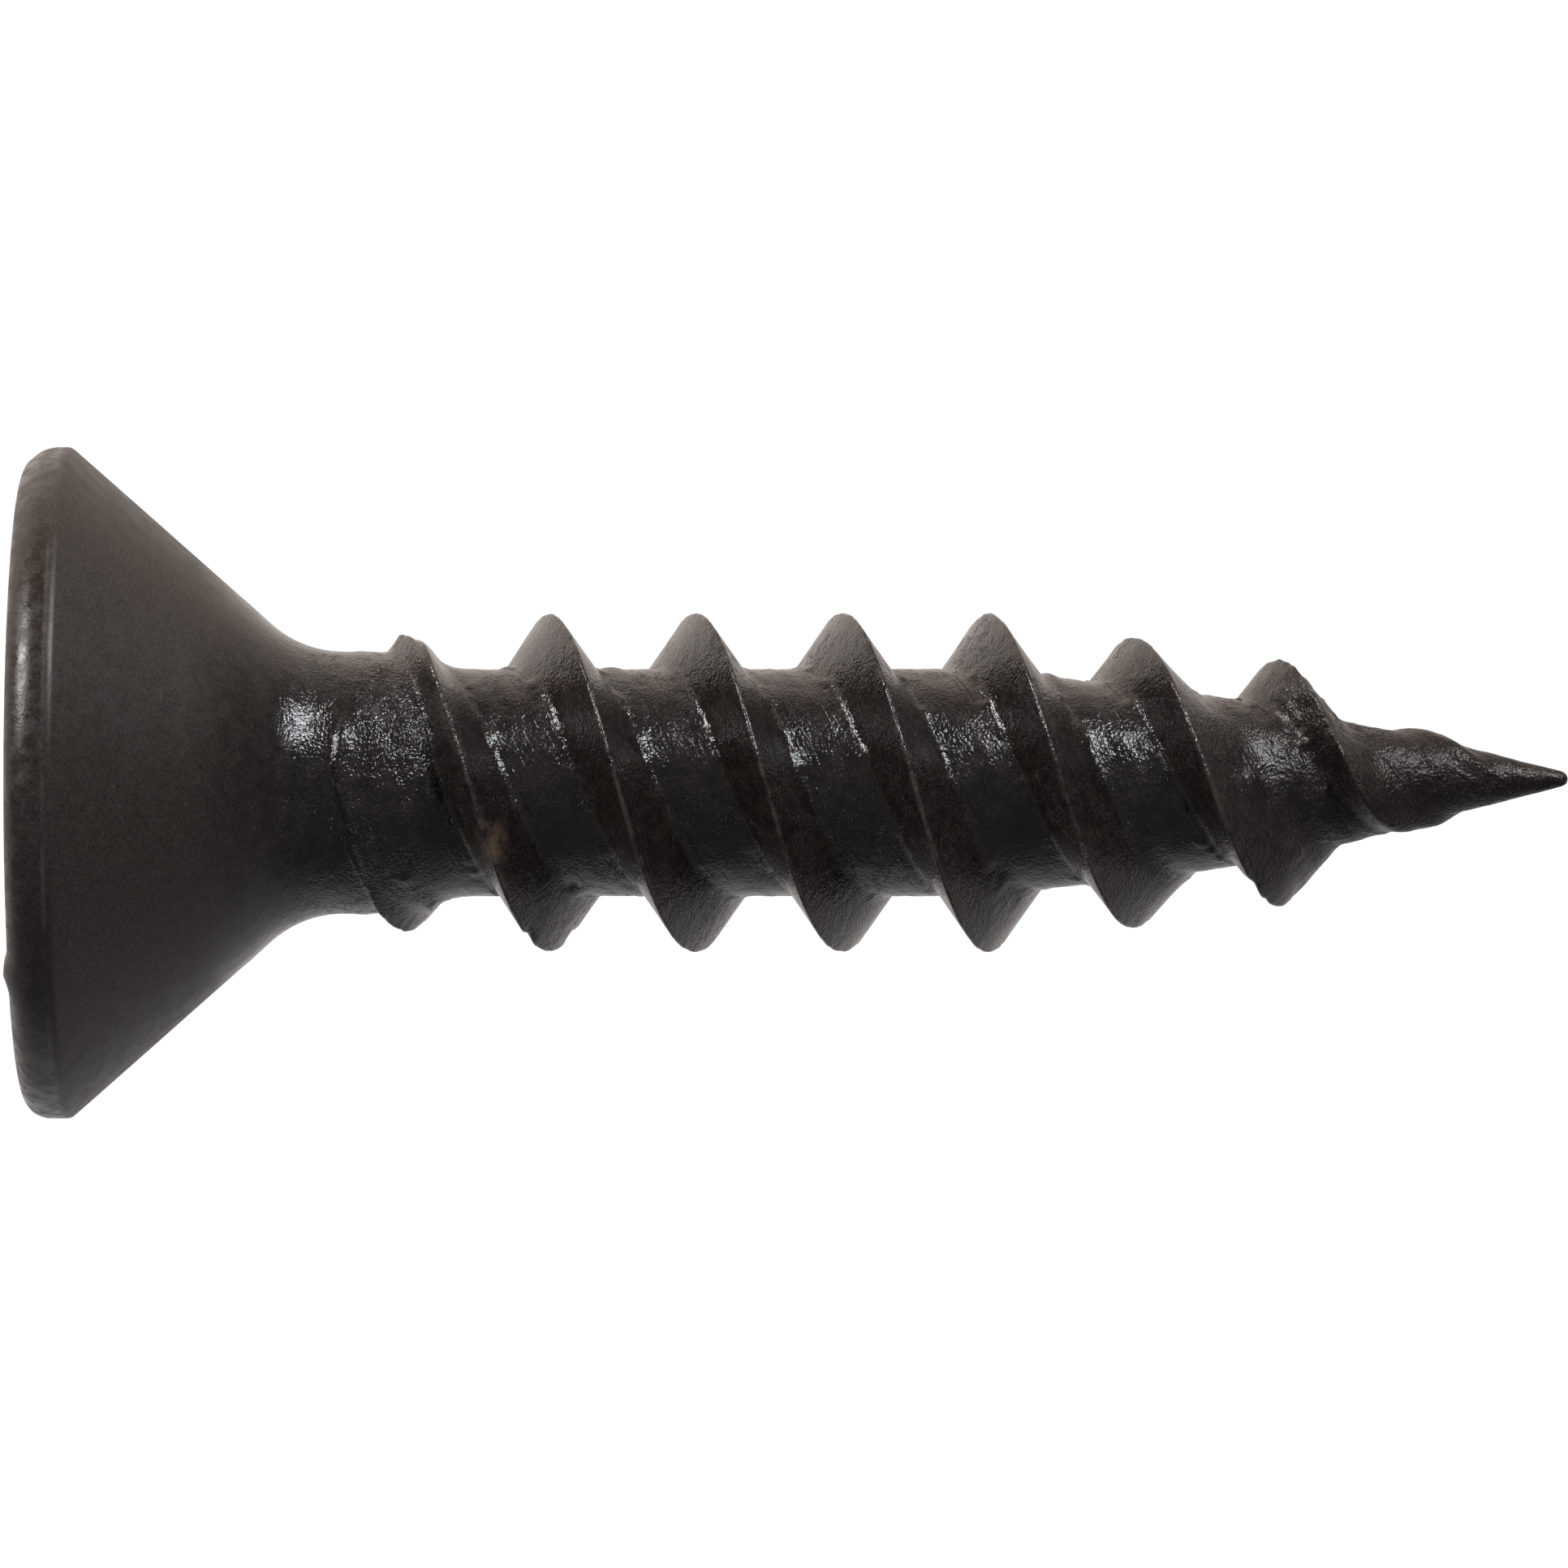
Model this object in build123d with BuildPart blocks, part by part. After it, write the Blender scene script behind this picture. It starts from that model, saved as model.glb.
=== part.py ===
from build123d import *
from math import atan, cos, pi, radians, sin, sqrt, tan
import os

# A countersunk wood screw with a twin-start thread, cold headed and thread rolled from one length of wire.
#
# Millimetres. The axis is Z, the flat face of the head is at z = 0 and the point is at z = -length.
# A depth is a distance below the flat face, so it is always -z.

# overall
length = 19.05  # 3/4 inch, flat face of the head to the point
neck_radius = 1.62  # plain wire between the head and the thread
thread_neck_radius = 1.60  # the same wire once the thread rolls have touched it
root_radius = 1.40  # core between the thread ridges

# head
head_radius = 4.15
rim_depth = 0.53  # where the straight rim would meet the cone
countersink_angle = 82.0
face_edge_radius = 0.35
rim_edge_radius = 0.16
neck_fillet = 1.33
cone_slope = tan(radians(countersink_angle / 2))
cone_end = rim_depth + (head_radius - neck_radius) / cone_slope

# core and point
neck_end = 4.50
core_start = 5.25
neck_slope = (thread_neck_radius - root_radius) / (core_start - neck_end)
taper_start = 11.90
taper_slope = 0.11  # radius lost per unit of depth
point_slope = 0.25
nose_radius = 0.10
nose_flat_radius = 0.03
nose_shares = (0.50, 0.25, 0.08, 0)  # heights of the last cross sections above the point, in nose radii
nose_start = length - nose_radius * (1 - sin(atan(point_slope)))
nose_start_radius = nose_radius * cos(atan(point_slope))
point_start = (nose_start_radius + point_slope * nose_start - root_radius - taper_slope * taper_start) / (
    point_slope - taper_slope
)

# depth of each bend in the core, the slope change there and how far the bend is spread to each side
core_bends = [
    (neck_end, -neck_slope, 0.15),
    (core_start, neck_slope, 0.15),
    (taper_start, -taper_slope, 0.50),
    (point_start, taper_slope - point_slope, 1.00),
]

# thread
starts = 2
crests_per_inch = 14
lead = starts * 25.4 / crests_per_inch
thread_radius = 2.09
flank_angle = 31.0  # each flank, from square to the axis
flank_slope = tan(radians(flank_angle))  # half thickness gained per unit of depth below the crest
crest_half_width = 0.018
phase_depth = 6.47  # where the first start's crest faces +X
foot_height = 0.09
foot_spread = 0.11
least_flank = 0.06
least_foot = 0.04
least_height = 0.01  # a trace of each ridge is kept where there is no thread
sections_per_turn = 20
shank_start = 3.60  # inside the head
thread_start = 3.95

# depth and crest radius: out of the neck, full height, down the taper, into the point
crest_table = [
    (thread_start, thread_neck_radius),
    (4.71, 1.85),
    (5.61, 2.00),
    (6.52, thread_radius),
    (11.95, thread_radius),
    (15.55, 1.52),
    (17.15, 0.63),
    (18.04, 0.33),
]

# drive recess, a number 2 cross
recess_radius = 2.30
recess_flat_radius = 1.145
recess_half_angle = 26.5
recess_floor_half_angle = 70.0
recess_slope = tan(radians(recess_half_angle))
recess_depth = (recess_radius - recess_flat_radius) / recess_slope
recess_tip_depth = recess_flat_radius / tan(radians(recess_floor_half_angle))
wing_width = 1.05
wing_bottom_width = 0.85
web_radius = 1.10
web_bottom_radius = 0.72
recess_overrun = 0.2  # carried past the face so that the cut is clean


def core_radius(depth):
    """Radius of the wire between the thread ridges."""
    if depth > nose_start:
        past_centre = depth - (length - nose_radius)
        return max(sqrt(max(nose_radius**2 - past_centre**2, 0)), nose_flat_radius)
    radius = thread_neck_radius
    for bend, slope_change, spread in core_bends:
        past = depth - bend
        if past > spread:
            radius += slope_change * past
        elif past > -spread:
            radius += slope_change * (past + spread) ** 2 / (4 * spread)
    return radius


def crest_radius(depth):
    """Radius of the thread crest, which is hardly more than the core's where there is no thread."""
    core = core_radius(depth)
    least = core + min(least_height, core / 10)
    for (d0, r0), (d1, r1) in zip(crest_table, crest_table[1:]):
        if d0 <= depth <= d1:
            return max(r0 + (r1 - r0) * (depth - d0) / (d1 - d0), least)
    return least


def polar(radius, angle):
    """A point in the plane of a cross section."""
    return (radius * cos(angle), radius * sin(angle))


def make_head():
    """Head, neck fillet and neck down to where the thread starts, turned about the axis."""
    corners = [
        (head_radius, 0, face_edge_radius),
        (head_radius, rim_depth, rim_edge_radius),
        (neck_radius, cone_end, neck_fillet),
    ]
    with BuildPart() as head:
        with BuildSketch(Plane.XZ) as outline:
            with BuildLine():
                Polyline(
                    (0, 0),
                    *[(radius, -depth) for radius, depth, _ in corners],
                    (neck_radius, -thread_start),
                    (0, -thread_start),
                    close=True,
                )
            make_face()
            for radius, depth, rounding in corners:
                corner = outline.vertices().sort_by_distance((radius, -depth, 0))[0]
                fillet(corner, rounding)
        revolve(axis=Axis.Z)
    return head.part


def draw_spiral(r0, a0, r1, a1):
    """A curve whose radius changes evenly with its angle, as a straight flank's does in a cross section."""
    x0, y0 = polar(r0, a0)
    x1, y1 = polar(r1, a1)
    third = (a1 - a0) / 3
    gain = (r1 - r0) / 3
    near = (x0 + gain * cos(a0) - third * y0, y0 + gain * sin(a0) + third * x0)
    far = (x1 - gain * cos(a1) + third * y1, y1 - gain * sin(a1) - third * x1)
    Bezier((x0, y0), near, far, (x1, y1))


def draw_shank_section(depth):
    """Cross section of the threaded shank: a core arc, two feet, two flanks and a crest for each start."""
    core = core_radius(depth)
    crest = crest_radius(depth)
    half_height = (crest - core) / 2
    foot = core + min(foot_height, half_height)
    half_flank = crest_half_width + max((crest - foot) * flank_slope, least_flank)
    half_foot = half_flank + max(foot_spread * min(1, half_height / foot_height), least_foot)
    ridge = [
        (core, -half_foot),
        (foot, -half_flank),
        (crest, -crest_half_width),
        (crest, crest_half_width),
        (foot, half_flank),
        (core, half_foot),
    ]
    turn_per_depth = 2 * pi / lead
    for start in range(starts):
        middle = 2 * pi * start / starts + (phase_depth - depth) * turn_per_depth
        corners = [(radius, middle + offset * turn_per_depth) for radius, offset in ridge]
        corners.append((core, middle + 2 * pi / starts - half_foot * turn_per_depth))
        for (r0, a0), (r1, a1) in zip(corners, corners[1:]):
            if r0 == r1:
                ThreePointArc(polar(r0, a0), polar(r0, (a0 + a1) / 2), polar(r1, a1))
            else:
                draw_spiral(r0, a0, r1, a1)


def make_shank():
    """The threaded shank and its point, lofted through cross sections that turn with the thread."""
    count = round((nose_start - shank_start) / lead * sections_per_turn)
    depths = [shank_start + (nose_start - shank_start) * i / count for i in range(count + 1)]
    depths += [length - nose_radius * share for share in nose_shares]
    with BuildPart() as shank:
        for depth in depths:
            with BuildSketch(Plane.XY.offset(-depth)):
                with BuildLine():
                    draw_shank_section(depth)
                make_face()
        loft()
    return shank.part


def make_recess():
    """The cross recess as a solid: two tapered wings trimmed by a cone, a conical web and a conical floor."""
    cut_height = recess_overrun + recess_depth
    flare = recess_overrun / recess_depth
    mouth_radius = recess_radius + recess_overrun * recess_slope
    mouth_width = wing_width + (wing_width - wing_bottom_width) * flare
    mouth_web_radius = web_radius + (web_radius - web_bottom_radius) * flare
    blade_length = 3 * recess_radius
    with BuildPart() as recess:
        for turn in (0, 90):
            for height, width in ((recess_overrun, mouth_width), (-recess_depth, wing_bottom_width)):
                with BuildSketch(Plane.XY.offset(height)):
                    Rectangle(blade_length, width, rotation=turn)
            loft()
        with Locations((0, 0, recess_overrun - cut_height / 2)):
            Cone(recess_flat_radius, mouth_radius, cut_height, mode=Mode.INTERSECT)
            Cone(web_bottom_radius, mouth_web_radius, cut_height)
        with Locations((0, 0, -recess_depth - recess_tip_depth / 2)):
            Cone(0, recess_flat_radius, recess_tip_depth)
    return recess.part


with BuildPart() as screw:
    add(make_head())
    add(make_shank())
    add(make_recess(), mode=Mode.SUBTRACT)

screw.part.label = "screw"

os.makedirs("parts", exist_ok=True)
export_step(screw.part, "parts/screw.step")
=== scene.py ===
"""Looks of a black countersunk wood screw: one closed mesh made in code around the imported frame.

Sizes are in millimetres in the row frame: the axis is Z, the flat face is at z = 0 and the point is down.
Depths are measured down from the face. The near side is the one that faces the camera, at -Y.
"""

import math

import bpy
import numpy as np
from mathutils import Matrix, Vector, noise


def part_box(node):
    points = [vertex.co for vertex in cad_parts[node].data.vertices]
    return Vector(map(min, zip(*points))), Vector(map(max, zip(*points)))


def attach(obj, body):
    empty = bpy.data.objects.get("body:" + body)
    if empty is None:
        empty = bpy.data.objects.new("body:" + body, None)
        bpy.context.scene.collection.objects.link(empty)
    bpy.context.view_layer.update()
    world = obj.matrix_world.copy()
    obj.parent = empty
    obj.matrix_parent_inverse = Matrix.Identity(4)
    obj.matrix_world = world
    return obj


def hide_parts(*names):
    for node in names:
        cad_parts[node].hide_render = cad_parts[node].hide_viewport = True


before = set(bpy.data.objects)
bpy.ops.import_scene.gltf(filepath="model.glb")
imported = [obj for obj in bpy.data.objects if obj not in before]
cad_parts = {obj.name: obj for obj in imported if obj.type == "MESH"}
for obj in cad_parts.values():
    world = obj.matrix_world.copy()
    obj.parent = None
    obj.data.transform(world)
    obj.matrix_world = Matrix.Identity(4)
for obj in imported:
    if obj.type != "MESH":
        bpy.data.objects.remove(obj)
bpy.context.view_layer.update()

MM = 0.001
TAU = 2 * math.pi
low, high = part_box("screw")
LENGTH = -low.z / MM
HEAD_R = high.x / MM


# camera -----------------------------------------------------------------------------------------------

CAM_DISTANCE = 185.7  # from the axis
CAM_DEPTH = 13.04
AIM = (-0.017, 0.0, -9.38)
VIEW_WIDTH = 19.357  # at the axis

cam_data = bpy.data.cameras.new("camera")
cam_data.sensor_width = 36.0
cam_data.lens = cam_data.sensor_width * CAM_DISTANCE / VIEW_WIDTH
cam_data.clip_start = 0.01
cam_data.clip_end = 10.0
cam = bpy.data.objects.new("camera", cam_data)
bpy.context.scene.collection.objects.link(cam)
cam_at = Vector((0.0, -CAM_DISTANCE, -CAM_DEPTH))
back = (cam_at - Vector(AIM)).normalized()
up = Vector((1.0, 0.0, 0.0))
up = (up - back * up.dot(back)).normalized()
right = up.cross(back)
cam.matrix_world = Matrix.Translation(cam_at * MM) @ Matrix((right, up, back)).transposed().to_4x4()
bpy.context.scene.camera = cam
bpy.context.scene.view_settings.view_transform = "Standard"


# sizes ------------------------------------------------------------------------------------------------

CONE_HALF_ANGLE = math.radians(41)
FACE_EDGE_R = 0.35  # how far the barrelled rim draws in toward the face
RIM_HIGH = 0.40  # and the height over which it does
RIM_DEPTH = 0.53  # depth the cone's length is measured from
RIM_EDGE_R = 0.14
RIM_CORNER = 0.572  # depth where the rim's side would meet the cone
NECK_R = 1.62
NECK_FILLET_R = 1.33
CONE_END = RIM_DEPTH + (HEAD_R - NECK_R) / math.tan(CONE_HALF_ANGLE)
NECK_TANGENT = NECK_FILLET_R * math.tan(CONE_HALF_ANGLE / 2)
NECK_START = CONE_END + NECK_TANGENT
SHANK_TOP = -3.80  # z of the top of the helical rows
NOSE_DEPTH = 0.07  # the rounded end of the point
SHANK_BOTTOM = -(LENGTH - NOSE_DEPTH)

STARTS = 2
PITCH = 25.4 / 14
LEAD = STARTS * PITCH
THREAD_R = 2.09
ROOT_R = 1.40
CREST_Z = -6.47  # where the first start's crest faces +X
FLANK = math.tan(math.radians(31))
CREST_HALF = 0.014  # half the width of a crest's flat
ROOT_BLEND = 0.13  # how softly a flank runs into the core

RECESS_REACH = 2.30
RECESS_FLAT = 1.145  # reach of the wings at the floor
RECESS_DEPTH = (RECESS_REACH - RECESS_FLAT) / math.tan(math.radians(26.5))
RECESS_TIP = RECESS_FLAT / math.tan(math.radians(70))
WING_TOP, WING_BOTTOM = 0.525, 0.425  # half widths
WEB_TOP, WEB_BOTTOM = 1.10, 0.72

# (depth, radius) of the crests and of the core between them
CREST_TABLE = np.array([
    (3.4, 1.50), (4.20, 1.59), (4.40, 1.68), (4.71, 1.85), (5.61, 2.00), (6.52, THREAD_R),
    (11.95, THREAD_R), (13.73, 1.79), (15.55, 1.52), (16.1, 1.25), (17.15, 0.63), (17.6, 0.49),
    (18.0, 0.30), (18.4, 0.12), (19.05, -0.20),
])
CORE_TABLE = np.array([
    (3.92, NECK_R), (4.4, 1.615), (4.85, 1.59), (5.1, 1.49), (5.35, 1.415), (5.6, ROOT_R), (11.5, ROOT_R),
    (11.9, 1.385), (12.4, 1.335), (14.53, 1.095), (15.5, 0.935), (16.54, 0.70), (18.97, 0.098),
])
# (depth, how much wider the flank on the point's side is)
TIP_FLANK_TABLE = np.array([
    (4.6, 1.25), (5.8, 1.10), (6.8, 1.05), (11.0, 1.05), (12.5, 1.20), (13.9, 1.40), (15.2, 2.08),
    (16.5, 2.30),
])

COLUMNS = 192
ANGLES = np.arange(COLUMNS) * TAU / COLUMNS
CIRCLE = np.column_stack((np.cos(ANGLES), np.sin(ANGLES)))


# shape of the screw -----------------------------------------------------------------------------------

def ramp(value, start, end):
    """0 at start, 1 at end and straight between, for arrays."""
    return np.clip((value - start) / (end - start), 0, 1)


def ridge(value, width):
    """A soft ridge of height 1 along value = 0."""
    return np.exp(-((value / width) ** 2))


def table(values, depth):
    return np.interp(depth, values[:, 0], values[:, 1])


def smooth_max(a, b, blend):
    """The larger of two arrays, with the crease between them rounded."""
    gap = np.maximum(blend - np.abs(a - b), 0)
    return np.maximum(a, b) + gap * gap / (4 * blend)


def noise_at(points, scale, seed, octaves=1):
    """Smooth noise from about -1 to 1 at points in millimetres."""
    out = np.zeros(len(points))
    for octave in range(octaves):
        k = scale * 2**octave
        shift = Vector((seed * 3.7, seed * 1.3, seed * 7.1 + octave * 11.3))
        out += np.array([noise.noise(Vector(p) * k + shift) for p in points]) / 2**octave
    return out


def bump_at(theta, z, theta0, z0, theta_size, z_size, slant=0.0):
    """A soft hump of height 1 at an angle and height, with half sizes in degrees and millimetres."""
    turn = (theta - math.radians(theta0) + math.pi) % TAU - math.pi
    dz = z - z0 - slant * turn
    return np.exp(-((turn / math.radians(theta_size)) ** 2) - (dz / z_size) ** 2)


def shank_radius(theta, z):
    """Radius of the threaded shank, and the distance along the axis from the nearest crest."""
    depth = -z
    core = table(CORE_TABLE, depth)
    above = np.clip(NECK_START - depth, 0, NECK_FILLET_R * 0.9)
    core = core + NECK_FILLET_R - np.sqrt(NECK_FILLET_R**2 - above**2)
    phase = (z - CREST_Z) / PITCH - theta / TAU * STARTS
    away = (phase - np.round(phase)) * PITCH
    worn = ramp(depth, 16.2, 17.1)  # the ridge melts into the point
    widen = np.where(away < 0, table(TIP_FLANK_TABLE, depth), 1 + 0.8 * worn)
    off = np.maximum(np.abs(away) - CREST_HALF, 0)
    off = np.sqrt(off**2 + (0.14 * worn) ** 2) - 0.14 * worn
    flank = table(CREST_TABLE, depth) - off / (FLANK * widen)
    radius = smooth_max(core, flank, np.minimum(ROOT_BLEND + 0.10 * worn, 0.5 * core))
    return radius, away


def arc(centre_r, centre_z, radius, start, end, count):
    """Points round an arc, as (r, z)."""
    points = []
    for i in range(count + 1):
        angle = start + (end - start) * i / count
        points.append((centre_r + radius * math.cos(angle), centre_z + radius * math.sin(angle)))
    return points


def head_profile():
    """(r, z) rows from the edge of the flat face down to the top of the shank."""
    rows = []
    for i in range(11):
        turn = math.pi / 2 * (1 - i / 10)
        rows.append((HEAD_R - FACE_EDGE_R * (1 - math.cos(turn)), -RIM_HIGH * (1 - math.sin(turn))))
    rim_tangent = RIM_EDGE_R * math.tan(CONE_HALF_ANGLE / 2)
    rows += arc(HEAD_R - RIM_EDGE_R, -RIM_CORNER + rim_tangent, RIM_EDGE_R, 0, -CONE_HALF_ANGLE, 6)
    fillet = arc(NECK_R + NECK_FILLET_R, -NECK_START, NECK_FILLET_R, math.pi - CONE_HALF_ANGLE, math.pi, 12)
    r0, z0 = rows[-1]
    r1 = NECK_R + NECK_TANGENT * math.sin(CONE_HALF_ANGLE)
    z1 = -CONE_END + NECK_TANGENT * math.cos(CONE_HALF_ANGLE)
    rows += [(r0 + (r1 - r0) * i / 24, z0 + (z1 - z0) * i / 24) for i in range(1, 24)]
    rows += fillet
    return [(r, z) for r, z in rows if z > SHANK_TOP + 0.02]


def cross_outline(half_width, reach, web):
    """Outline of the cross recess as COLUMNS points, (x, y)."""
    end_angle, web_angle = math.asin(half_width / reach), math.asin(half_width / web)
    web_turn = math.pi / 2 - 2 * web_angle
    end_x, web_x = reach * math.cos(end_angle), web * math.cos(web_angle)
    quarter = []
    for t in range(7):
        angle = end_angle * t / 7
        quarter.append((reach * math.cos(angle), reach * math.sin(angle)))
    for t in range(9):
        quarter.append((end_x + (web_x - end_x) * t / 9, half_width))
    for t in range(16):
        angle = web_angle + web_turn * t / 16
        quarter.append((web * math.cos(angle), web * math.sin(angle)))
    for t in range(9):
        quarter.append((half_width, web_x + (end_x - web_x) * t / 9))
    for t in range(7):
        angle = end_angle * (7 - t) / 7
        quarter.append((reach * math.sin(angle), reach * math.cos(angle)))
    points = []
    for c, s in ((1, 0), (0, 1), (-1, 0), (0, -1)):
        points += [(x * c - y * s, x * s + y * c) for x, y in quarter]
    return np.array(points)


def recess_rings():
    """Rings of points from the middle of the recess floor up its walls and out over the flat face."""
    rings = []

    def add(outline, z):
        rings.append(np.column_stack((outline, np.broadcast_to(z, COLUMNS))))

    floor_outline = cross_outline(WING_BOTTOM, RECESS_FLAT, WEB_BOTTOM)
    for share, reach_share in ((0.3, 0.3), (0.65, 0.65), (0.97, 1.0)):
        reached = floor_outline * reach_share
        reached = np.hypot(reached[:, 0], reached[:, 1])
        add(floor_outline * share, -RECESS_DEPTH - RECESS_TIP * (1 - reached / RECESS_FLAT))
    for depth in (2.28, 2.0, 1.6, 1.2, 0.8, 0.4, 0.15, 0.05):
        t = depth / RECESS_DEPTH
        half_width = WING_TOP + (WING_BOTTOM - WING_TOP) * t
        reach = RECESS_REACH + (RECESS_FLAT - RECESS_REACH) * t
        web = WEB_TOP + (WEB_BOTTOM - WEB_TOP) * t
        add(cross_outline(half_width, reach, web), -depth)
    for out, depth in ((0.012, 0.015), (0.04, 0.0)):  # the rounded mouth
        mouth = cross_outline(WING_TOP + out, RECESS_REACH + out, WEB_TOP + out)
        add(mouth, -depth)
    round_r = 3.0  # where the rings on the face have become round
    outer = CIRCLE * round_r
    for share in (0.08, 0.25, 0.5, 0.75, 1.0):
        add(mouth + (outer - mouth) * share, 0.0)
    for r in (3.25, 3.5, 3.68):
        add(outer * r / round_r, 0.0)
    return rings


class Mesh:
    """Points and faces, gathered as they are made."""

    def __init__(self):
        self.points = []
        self.faces = []

    def ring(self, points):
        first = len(self.points)
        self.points.extend(map(tuple, points))
        return list(range(first, first + len(points)))

    def circle(self, radius, z):
        """A ring round the axis, with one radius or one for each column."""
        radii = np.broadcast_to(radius, COLUMNS)
        return self.ring(np.column_stack((CIRCLE * radii[:, None], np.full(COLUMNS, z))))

    def join(self, a, b):
        """Quads between two rings."""
        for i in range(COLUMNS):
            j = (i + 1) % COLUMNS
            self.faces.append((a[i], a[j], b[j], b[i]))

    def cap(self, ring, centre):
        """Triangles from a ring to one point."""
        middle = self.ring([centre])[0]
        for i in range(COLUMNS):
            self.faces.append((ring[(i + 1) % COLUMNS], ring[i], middle))


def profile_rows():
    """Places of the rows between one crest and the next, as shares of the pitch."""
    foot = (THREAD_R - ROOT_R + CREST_HALF / FLANK) * FLANK / PITCH
    half = [0.0, 0.008, 0.016, 0.026]
    half += list(np.linspace(0.026, foot - 0.03, 9)[1:])
    half += list(np.linspace(foot - 0.03, foot + 0.055, 6)[1:])
    half += list(np.linspace(foot + 0.055, 0.5, 6)[1:])
    return np.array(half + [1 - h for h in reversed(half[1:-1])])


def add_shank(mesh, top_ring, bottom_ring):
    """Helical rows of quads between two rings, with every row following the thread."""
    shares = profile_rows()
    turns = int((SHANK_TOP - SHANK_BOTTOM) / PITCH) + 2 * STARTS + 2
    level = np.concatenate([k + shares for k in range(turns)])
    first_crest = CREST_Z + PITCH * (math.ceil((SHANK_TOP - CREST_Z) / PITCH) + 1)
    z = first_crest + LEAD * ANGLES[:, None] / TAU - PITCH * level[None, :]
    snap = 0.012  # rows this near an end ring are merged with it
    ids = np.full(z.shape, -1, int)
    where = np.argwhere((z < SHANK_TOP - snap) & (z > SHANK_BOTTOM + snap))
    theta, z_kept = ANGLES[where[:, 0]], z[where[:, 0], where[:, 1]]
    radius = shank_radius(theta, z_kept)[0]
    first = len(mesh.points)
    mesh.points.extend(zip(radius * np.cos(theta), radius * np.sin(theta), z_kept))
    ids[where[:, 0], where[:, 1]] = np.arange(first, first + len(where))
    for i in range(COLUMNS):
        ids[i][z[i] >= SHANK_TOP - snap] = top_ring[i]
        ids[i][z[i] <= SHANK_BOTTOM + snap] = bottom_ring[i]
    # one full turn later each row has moved down by a lead
    shift = STARTS * len(shares)
    wrapped = np.concatenate([np.full(shift, top_ring[0]), ids[0][:-shift]])
    for i in range(COLUMNS):
        here = ids[i]
        after = ids[i + 1] if i + 1 < COLUMNS else wrapped
        for m in range(len(level) - 1):
            corners = []
            for v in (here[m], here[m + 1], after[m + 1], after[m]):
                if v not in corners:
                    corners.append(int(v))
            if len(corners) > 2:
                mesh.faces.append(tuple(corners))


mesh = Mesh()
rings = [mesh.ring(r) for r in recess_rings()]
mesh.cap(rings[0], (0, 0, -RECESS_DEPTH - RECESS_TIP))
for inner, outer in zip(rings, rings[1:]):
    mesh.join(outer, inner)
last = rings[-1]
for r, z in head_profile():
    here = mesh.circle(r, z)
    mesh.join(here, last)
    last = here
top = mesh.circle(shank_radius(ANGLES, np.full(COLUMNS, SHANK_TOP))[0], SHANK_TOP)
mesh.join(top, last)
nose = []
for above_tip, r in ((NOSE_DEPTH, 0.092), (0.045, 0.082), (0.02, 0.060), (0.006, 0.033)):
    nose.append(mesh.circle(r, above_tip - LENGTH))
add_shank(mesh, top, nose[0])
for upper, lower in zip(nose, nose[1:]):
    mesh.join(lower, upper)
mesh.cap(nose[-1], (0, 0, -LENGTH))


# wear and tool marks ----------------------------------------------------------------------------------

# the raised lip where the rolls first bite: degrees from the near side, depth
LIP_PATH = np.array([
    (-95, 4.62), (-68, 4.40), (-50, 4.33), (-31, 4.21), (-15, 4.06), (-5, 3.98), (8, 3.93), (24, 3.98),
    (36, 4.08),
])

# burrs and nicks, at the first crest and then at later ones: angle from +X in degrees, z,
# half sizes in degrees and millimetres, how far it stands out, slant with the turn
SPOTS = (
    (3, -4.64, 8, 0.10, 0.075, 0.0),
    (4, -4.96, 26, 0.14, 0.15, 0.15),
    (-4, -4.80, 8, 0.035, -0.035, 0.0),
    (-20, -4.87, 8, 0.05, -0.06, 0.3),
    (-36, -5.02, 14, 0.10, 0.07, 0.3),
    (182, -5.02, 18, 0.09, 0.08, 0.1),
    (157, -6.70, 7, 0.07, -0.09, 0.0),
    (-159, -6.25, 5, 0.06, -0.07, 0.0),
    (-155, -6.80, 4, 0.05, -0.05, 0.0),
    (-150, -15.15, 9, 0.06, -0.11, 0.0),
    (-163, -15.29, 5, 0.04, -0.04, 0.0),
    (176, -15.70, 10, 0.06, -0.04, 0.0),
    (-8, -12.65, 14, 0.12, 0.05, 0.3),
    (-5, -7.25, 12, 0.12, 0.03, 0.3),
    (95, -9.2, 6, 0.06, -0.04, 0.0),
    (60, -12.3, 8, 0.08, -0.04, 0.0),
)


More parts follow.
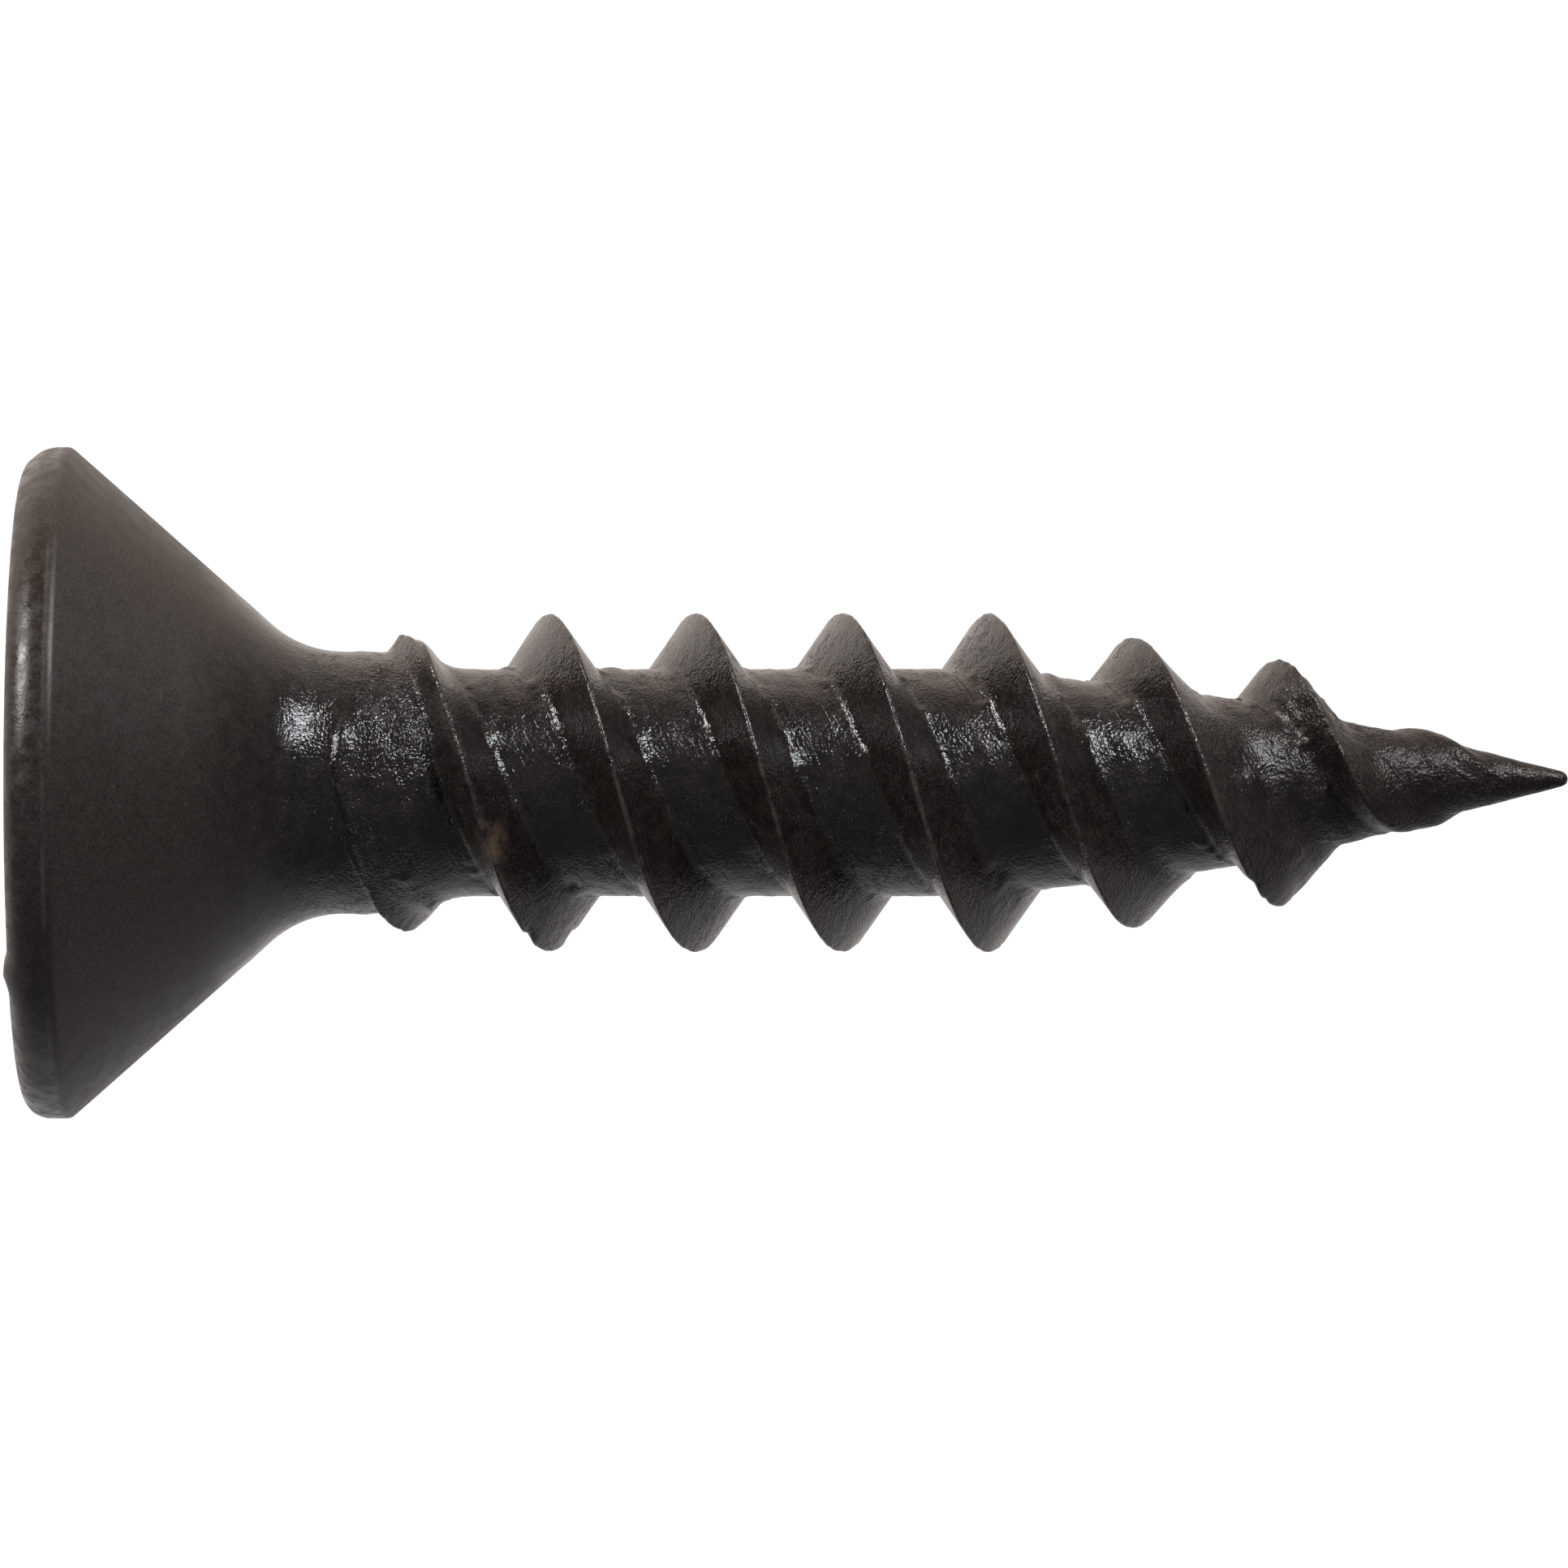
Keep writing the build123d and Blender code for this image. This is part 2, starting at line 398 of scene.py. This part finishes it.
def shank_marks(points, theta, radius, depth, away, coarse, medium):
    """How far the shank's surface is moved out by unevenness, laps, burrs and nicks."""
    z = -depth
    on_shank = ramp(depth, 3.7, 4.1) * (radius > 0.02)
    threaded = ramp(depth, 4.0, 4.5) * ramp(depth, 18.9, 17.9)
    fine = noise_at(points, 13.0, 3)
    shift = on_shank * (0.006 * coarse + 0.004 * medium + 0.0012 * fine)

    # flow lines left by the rolls, along the thread
    along = np.column_stack((away * 9.0, theta * 1.3, z * 0.6))
    streak = noise_at(along, 1.0, 4, 2)
    valley = ramp(np.abs(away), 0.35, 0.55)
    shift += threaded * 0.007 * streak * (0.5 + valley)

    # a torn lap here and there at the foot of a flank
    foot = ridge(np.abs(away) - 0.50, 0.09)
    torn = np.maximum(noise_at(points, 2.6, 5, 3) - 0.15, 0)
    shift += threaded * foot * np.minimum(torn * 0.10, 0.035) * ramp(depth, 17.0, 16.4)

    # wavering crest
    waver = 0.012 * noise_at(points, 1.7, 6) + 0.010 * noise_at(points, 7.0, 7, 2) - 0.006
    shift += ridge(away, 0.06) * threaded * waver

    # the raised lip
    turn = (theta + math.pi / 2 + math.pi) % TAU - math.pi  # from the near side
    lip_angles = np.radians(LIP_PATH[:, 0])
    past = depth - np.interp(turn, lip_angles, LIP_PATH[:, 1])
    first, last = lip_angles[0], lip_angles[-1]
    strength = ramp(turn, first, first + 0.5) * ramp(turn, last, last - 0.3)
    shift += 0.055 * strength * np.where(past < 0, ridge(past, 0.05), ridge(past, 0.15))

    # the rough patch between the lip and the first full valley
    patch = ridge(depth - 4.55, 0.40) * threaded
    shift += patch * (0.012 * noise_at(points, 6.0, 8, 2) + 0.006 * streak)

    for angle, at, wide, tall, height, slant in SPOTS:
        shift += height * bump_at(theta, z, angle, at, wide, tall, slant)

    # the first crest is blunt where it starts, and another has a doubled lap along it
    shift -= 0.07 * ridge(away, 0.055) * bump_at(theta, z, 3, -4.66, 16, 0.12)
    shift -= 0.03 * ridge(away + 0.055, 0.018) * bump_at(theta, z, -62, -12.65, 38, 0.6)

    # the last full ridge is torn and pitted on its point side
    pitted = ridge(depth - 15.8, 0.55) * np.clip(1.3 - np.abs(theta + 0.7) / 1.1, 0, 1)
    return shift + pitted * (0.045 * noise_at(points, 4.5, 14, 2) + 0.030 * noise_at(points, 9.0, 15))


def head_marks(points, theta, radius, depth, coarse, medium):
    """How far the head's side is moved out: uneven, more so round the rim, whose top leans to -X."""
    on_head = ramp(depth, 3.9, 3.4) * (radius > 3.1)
    shift = on_head * (0.004 * coarse + 0.0015 * medium)
    rim = ramp(depth, 0.6, 0.5) * on_head
    flattened = points * np.array((1.0, 1.0, 0.3))
    shift += rim * 0.005 * noise_at(flattened, 2.2, 9, 2)
    shift += rim * 0.0025 * noise_at(points, 5.0, 16, 2)
    lean = np.clip(1 - np.abs(depth - 0.12) / 0.25, 0, 1) * (radius > 3.75)
    return shift - lean * 0.03 * np.cos(theta)


def roughen(points):
    """The points, moved by all the wear and tool marks."""
    x, y, z = points.T
    theta = np.arctan2(y, x)
    radius = np.hypot(x, y)
    depth = -z
    away = shank_radius(theta, z)[1]
    coarse = noise_at(points, 1.1, 1)
    medium = noise_at(points, 4.0, 2, 2)
    shift = shank_marks(points, theta, radius, depth, away, coarse, medium)
    shift += head_marks(points, theta, radius, depth, coarse, medium)
    outward = np.column_stack((np.cos(theta), np.sin(theta), np.zeros(len(z))))
    moved = points + outward * (shift * (radius > 0.02))[:, None]

    # flat face and recess: faint stamping unevenness
    face = (depth < 2.9) * (radius < 3.7) * (radius > 0.05) * (depth < 0.9 + 2.2 * (radius < 2.3))
    wall = face * (depth > 0.02)
    moved[:, 2] -= face * 0.004 * (1 + noise_at(points, 3.0, 10, 2))
    moved[:, 0] += wall * 0.004 * noise_at(points, 4.0, 11)
    moved[:, 1] += wall * 0.004 * noise_at(points, 4.0, 12)

    # lumpy, slightly bent point
    toward_point = ramp(depth, 16.2, 17.6)
    toward_point = toward_point**2 * (3 - 2 * toward_point)
    twist = theta - depth * 1.9
    twisted = np.column_stack((np.cos(twist) * 0.8, np.sin(twist) * 0.8, depth * 1.1))
    fade = np.clip(radius / 0.5, 0, 1) * ramp(depth, 18.6, 17.4)
    moved += outward * (toward_point * fade * 0.040 * noise_at(twisted, 1.3, 13))[:, None]
    moved[:, 0] += 0.045 * toward_point
    moved[:, 2] = np.clip(moved[:, 2], -LENGTH, 0)

    # a flake raised on the face's edge
    edge_angle = np.arctan2(moved[:, 1], moved[:, 0])
    on_edge = np.hypot(moved[:, 0], moved[:, 1]) > 3.6
    moved[:, 2] += 0.06 * bump_at(edge_angle, moved[:, 2], -127, 0.0, 2.6, 0.10) * on_edge
    return moved


data = bpy.data.meshes.new("screw_body")
data.from_pydata((roughen(np.array(mesh.points)) * MM).tolist(), [], mesh.faces)
data.validate()
data.polygons.foreach_set("use_smooth", [True] * len(data.polygons))
screw = bpy.data.objects.new("screw_body", data)
bpy.context.scene.collection.objects.link(screw)
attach(screw, "root")
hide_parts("screw")


# material ---------------------------------------------------------------------------------------------

class Graph:
    """Short calls that add nodes to one node tree. A value is a number or another node's output."""

    def __init__(self, tree):
        self.nodes, self.links = tree.nodes, tree.links

    def put(self, value, socket):
        if hasattr(value, "is_output"):
            self.links.new(value, socket)
        elif isinstance(value, tuple) and len(socket.default_value) == 4:
            socket.default_value = (*value, 1.0)
        else:
            socket.default_value = value

    def math(self, operation, *values):
        node = self.nodes.new("ShaderNodeMath")
        node.operation = operation
        for value, socket in zip(values, node.inputs):
            self.put(value, socket)
        return node.outputs[0]

    def plus(self, first, *rest):
        for value in rest:
            first = self.math("ADD", first, value)
        return first

    def times(self, first, *rest):
        for value in rest:
            first = self.math("MULTIPLY", first, value)
        return first

    def minus(self, a, b):
        return self.math("SUBTRACT", a, b)

    def vector_math(self, operation, a, b, output):
        node = self.nodes.new("ShaderNodeVectorMath")
        node.operation = operation
        self.put(a, node.inputs[0])
        self.put(b, node.inputs["Scale"] if operation == "SCALE" else node.inputs[1])
        return node.outputs[output]

    def split(self, vector):
        node = self.nodes.new("ShaderNodeSeparateXYZ")
        self.put(vector, node.inputs[0])
        return node.outputs

    def combine(self, x, y, z):
        node = self.nodes.new("ShaderNodeCombineXYZ")
        for value, socket in zip((x, y, z), node.inputs):
            self.put(value, socket)
        return node.outputs[0]

    def noise(self, vector, size, detail, rough=0.55):
        node = self.nodes.new("ShaderNodeTexNoise")
        self.put(vector, node.inputs["Vector"])
        node.inputs["Scale"].default_value = size
        node.inputs["Detail"].default_value = detail
        node.inputs["Roughness"].default_value = rough
        return node.outputs["Fac"]

    def step(self, value, start, end, to_start=0.0, to_end=1.0, kind="SMOOTHSTEP"):
        """From one number at start to another at end, and constant past them."""
        node = self.nodes.new("ShaderNodeMapRange")
        node.interpolation_type = kind
        self.put(value, node.inputs["Value"])
        names = ("From Min", "From Max", "To Min", "To Max")
        for name, number in zip(names, (start, end, to_start, to_end)):
            self.put(number, node.inputs[name])
        return node.outputs["Result"]

    def mix(self, share, a, b):
        """A colour between two others."""
        node = self.nodes.new("ShaderNodeMix")
        node.data_type = "RGBA"
        factor, colour_a, colour_b = node.inputs[0], node.inputs[6], node.inputs[7]
        for value, socket in ((share, factor), (a, colour_a), (b, colour_b)):
            self.put(value, socket)
        return node.outputs[2]

    def line(self, value, at, half_width):
        """1 on a line and 0 a little way off it."""
        return self.step(self.math("ABSOLUTE", self.minus(value, at)), 0.0, half_width, 1.0, 0.0)


BLACK = (0.0130, 0.0095, 0.0082)
BLACK_WORN = (0.0290, 0.0210, 0.0165)
GREY_GRAIN = (0.038, 0.031, 0.027)
CONE_BROWN = (0.0400, 0.0258, 0.0176)
PALE_SPECK = (0.075, 0.066, 0.060)
PIT = (0.005, 0.0038, 0.0034)
WORN_BROWN = (0.115, 0.078, 0.053)
RUBBED_STEEL = (0.095, 0.076, 0.062)
CRACK_BLACK = (0.006, 0.005, 0.005)
WORN_SPOT = (-0.75, -1.80, -5.84)  # rubbed brown, beside a crest

# hairlines along the thread: distance from the crest, half width
HAIRLINES = ((0.62, 0.016), (0.70, 0.012), (0.50, 0.016), (-0.58, 0.014), (-0.74, 0.012))


def coated_steel():
    """Brown-black oxide: grainy and glossy on the rolled shank, satin on the cone, rubbed on the edges."""
    material = bpy.data.materials.new("coated_steel")
    material.use_nodes = True
    g = Graph(material.node_tree)
    shader = g.nodes["Principled BSDF"]
    shader.inputs["IOR"].default_value = 1.56

    # where a point is, in millimetres
    object_place = g.nodes.new("ShaderNodeTexCoord").outputs["Object"]
    place = g.vector_math("SCALE", object_place, 1 / MM, "Vector")
    x, y, z = g.split(place)
    theta = g.math("ARCTAN2", y, x)
    radius = g.math("SQRT", g.plus(g.times(x, x), g.times(y, y)))
    phase = g.minus(g.math("DIVIDE", g.minus(z, CREST_Z), PITCH), g.times(theta, STARTS / TAU))
    away = g.times(g.minus(g.math("FRACT", g.plus(phase, 0.5)), 0.5), PITCH)

    # masks, 0 to 1
    shank = g.step(z, -2.9, -3.7)
    threaded = g.times(g.step(z, -4.2, -4.8), g.step(z, -18.2, -17.4))
    band = g.times(g.step(z, -0.56, -0.46), g.step(radius, 3.75, 3.9))  # the rim
    cone = g.times(g.step(z, -3.5, -2.0), g.step(radius, 1.8, 2.8), g.minus(1.0, band))
    torn = g.times(g.step(z, -4.0, -4.3), g.step(z, -5.2, -4.8))  # where the thread starts
    toward_point = g.step(z, -14.0, -17.0)
    metal = g.plus(0.1, g.times(toward_point, 0.4))
    g.put(metal, shader.inputs["Metallic"])

    big = g.noise(place, 0.9, 2.0)
    mottle = g.noise(place, 4.5, 4.0, 0.6)
    lumps = g.noise(place, 6.0, 1.0, 0.5)
    grain = g.noise(place, 26.0, 1.0, 0.5)
    dust = g.noise(place, 30.0, 2.0, 0.6)
    round_x = g.times(g.math("COSINE", theta), 1.2)
    round_y = g.times(g.math("SINE", theta), 1.2)
    flow = g.noise(g.combine(round_x, round_y, g.times(away, 7.0)), 3.0, 4.0, 0.6)

    # glints and hairlines that run along the thread, broken up
    lines = 0.0
    for at, half_width in HAIRLINES:
        lines = g.math("MAXIMUM", lines, g.line(away, at, half_width))
    broken = g.step(g.noise(place, 2.2, 3.0, 0.6), 0.48, 0.60)
    lines = g.times(lines, broken, threaded)

    # small crooked laps
    bent = g.noise(place, 1.7, 5.0, 0.75)
    crack = g.times(g.line(bent, 0.5, 0.016), g.step(g.noise(place, 0.8, 1.0), 0.50, 0.58), shank)

    # height, in millimetres
    smoother_cone = g.minus(1.0, g.times(cone, 0.60))
    lump_share = g.times(g.plus(0.45, shank), g.plus(1.0, g.times(band, 0.5)))
    grain_share = g.plus(0.28, shank, g.times(torn, 1.2), g.times(toward_point, 0.6))
    uneven = g.plus(g.times(lump_share, lumps, 0.0075), g.times(grain_share, grain, 0.0086))
    streaks = g.times(flow, 0.006, threaded)
    height = g.plus(g.times(uneven, smoother_cone), g.times(dust, 0.0015), streaks, g.times(lines, 0.006))
    height = g.minus(height, g.times(crack, 0.028))
    bump = g.nodes.new("ShaderNodeBump")
    bump.inputs["Strength"].default_value = 1.0
    bump.inputs["Distance"].default_value = MM
    g.put(height, bump.inputs["Height"])
    g.put(bump.outputs["Normal"], shader.inputs["Normal"])

    # rubbed edges: crests, the first turn wider, and the rim's lower edge
    crest_width = g.step(z, -6.3, -5.7, 0.05, 0.12)
    off_crest = g.math("ABSOLUTE", away)
    crest = g.times(g.step(off_crest, crest_width, 0.008), threaded, g.step(mottle, 0.35, 0.62))
    rim_edge = g.times(g.line(z, -0.49, 0.045), g.step(radius, 3.9, 4.0), g.step(big, 0.40, 0.60))
    rubbed = g.math("MAXIMUM", crest, rim_edge)
    from_spot = g.vector_math("DISTANCE", place, WORN_SPOT, "Value")
    worn = g.times(g.step(from_spot, 0.40, 0.08), g.step(mottle, 0.30, 0.60))
    brown = g.plus(g.times(cone, 0.75), g.times(band, 0.6), g.times(toward_point, 0.35))
    speck = g.times(g.step(dust, 0.60, 0.70), g.step(lumps, 0.50, 0.62))

    colour = g.mix(g.step(mottle, 0.32, 0.68), BLACK, BLACK_WORN)
    colour = g.mix(g.times(g.step(grain, 0.58, 0.75), 0.45), colour, GREY_GRAIN)
    colour = g.mix(brown, colour, CONE_BROWN)
    colour = g.mix(g.times(speck, 0.4), colour, PALE_SPECK)
    colour = g.mix(g.step(dust, 0.44, 0.54, 0.65, 0.0), colour, PIT)
    colour = g.mix(g.times(worn, 0.8), colour, WORN_BROWN)
    colour = g.mix(g.times(rubbed, 0.45), colour, RUBBED_STEEL)
    colour = g.mix(g.times(crack, 0.7), colour, CRACK_BLACK)
    g.put(colour, shader.inputs["Base Color"])

    cloudy = g.step(g.noise(place, 6.0, 3.0, 0.6), 0.40, 0.60, 0.09, 0.26)
    roughness = g.plus(
        0.130,
        g.times(g.step(mottle, 0.3, 0.7), 0.10),
        g.times(cone, 0.27),
        g.times(band, cloudy),
        g.times(g.step(z, -13.5, -16.5), 0.16),
        g.times(crack, 0.3),
    )
    g.put(roughness, shader.inputs["Roughness"])
    return material


data.materials.append(coated_steel())


# floor ------------------------------------------------------------------------------------------------

FLOOR_R = 55
FLOOR_Z = -22
FLOOR_CORNERS = 96

disc = []
for i in range(FLOOR_CORNERS):
    angle = TAU * i / FLOOR_CORNERS
    disc.append((math.cos(angle) * FLOOR_R * MM, math.sin(angle) * FLOOR_R * MM, FLOOR_Z * MM))
floor_mesh = bpy.data.meshes.new("floor")
floor_mesh.from_pydata(disc, [], [tuple(range(FLOOR_CORNERS))])
floor = bpy.data.objects.new("floor", floor_mesh)
bpy.context.scene.collection.objects.link(floor)
floor_material = bpy.data.materials.new("pale_floor")
floor_material.use_nodes = True
floor_shader = floor_material.node_tree.nodes["Principled BSDF"]
floor_shader.inputs["Base Color"].default_value = (0.85, 0.85, 0.84, 1)
floor_shader.inputs["Roughness"].default_value = 0.7
floor_mesh.materials.append(floor_material)
# the floor neither blocks the lamp below it nor adds light to the screw
floor.visible_shadow = False
floor.visible_glossy = False
floor.visible_diffuse = False


# light ------------------------------------------------------------------------------------------------

FRONT_LIGHT = 0.165  # strength of the surroundings on the camera's side
BEHIND_LIGHT = 0.72  # what is added behind the screw
# what is added fades toward -X and toward -Z: axis, where it is weakest, where it is full, least share
FALLOFFS = (("X", -0.6, 0.2, 0.60), ("Z", -0.8, 0.0, 0.36))

world = bpy.data.worlds.new("studio")
bpy.context.scene.world = world
world.use_nodes = True
world.node_tree.nodes.clear()
w = Graph(world.node_tree)
direction = w.nodes.new("ShaderNodeTexCoord").outputs["Generated"]
toward = dict(zip("XYZ", w.split(direction)))

level = w.step(toward["Y"], -0.10, 0.40, 0.0, BEHIND_LIGHT, "LINEAR")
for axis, start, end, least in FALLOFFS:
    level = w.times(level, w.step(toward[axis], start, end, least, 1.0, "LINEAR"))
level = w.plus(level, FRONT_LIGHT)
tint = w.mix(w.step(toward["X"], -0.5, 0.5, kind="LINEAR"), (0.97, 0.96, 0.96), (1.15, 1.00, 0.91))
tint = w.mix(w.step(toward["Y"], -0.6, 0.0, kind="LINEAR"), (0.92, 0.96, 1.12), tint)
around = w.nodes.new("ShaderNodeBackground")
w.put(tint, around.inputs["Color"])
w.put(level, around.inputs["Strength"])

# the camera itself sees a plain white ground
ground = w.nodes.new("ShaderNodeBackground")
ground.inputs["Color"].default_value = (1, 1, 1, 1)
ground.inputs["Strength"].default_value = 1.05
chosen = w.nodes.new("ShaderNodeMixShader")
w.put(w.nodes.new("ShaderNodeLightPath").outputs["Is Camera Ray"], chosen.inputs[0])
w.put(around.outputs[0], chosen.inputs[1])
w.put(ground.outputs[0], chosen.inputs[2])
w.put(chosen.outputs[0], w.nodes.new("ShaderNodeOutputWorld").inputs["Surface"])

LAMP_AIM = Vector((0, 0, -7.0))
LAMP_DISTANCE = 400


def softbox(name, direction, width, length, power, colour):
    """A rectangular lamp whose length runs with the screw, aimed near the middle of it."""
    light = bpy.data.lights.new(name, "AREA")
    light.shape = "RECTANGLE"
    light.size = width * MM
    light.size_y = length * MM
    light.energy = power
    light.color = colour
    lamp = bpy.data.objects.new(name, light)
    bpy.context.scene.collection.objects.link(lamp)
    back = Vector(direction).normalized()
    along = (Vector((0, 0, 1)) - back * back.z).normalized()
    turned = Matrix((along.cross(back), along, back)).transposed().to_4x4()
    lamp.matrix_world = Matrix.Translation((LAMP_AIM + back * LAMP_DISTANCE) * MM) @ turned
    lamp.visible_camera = False


softbox("point_side", (0.70, -0.48, -0.49), 125, 175, 1.32, (0.92, 0.96, 1.0))
softbox("head_side", (0.53, -0.40, 0.75), 150, 135, 1.26, (1.0, 0.98, 0.96))
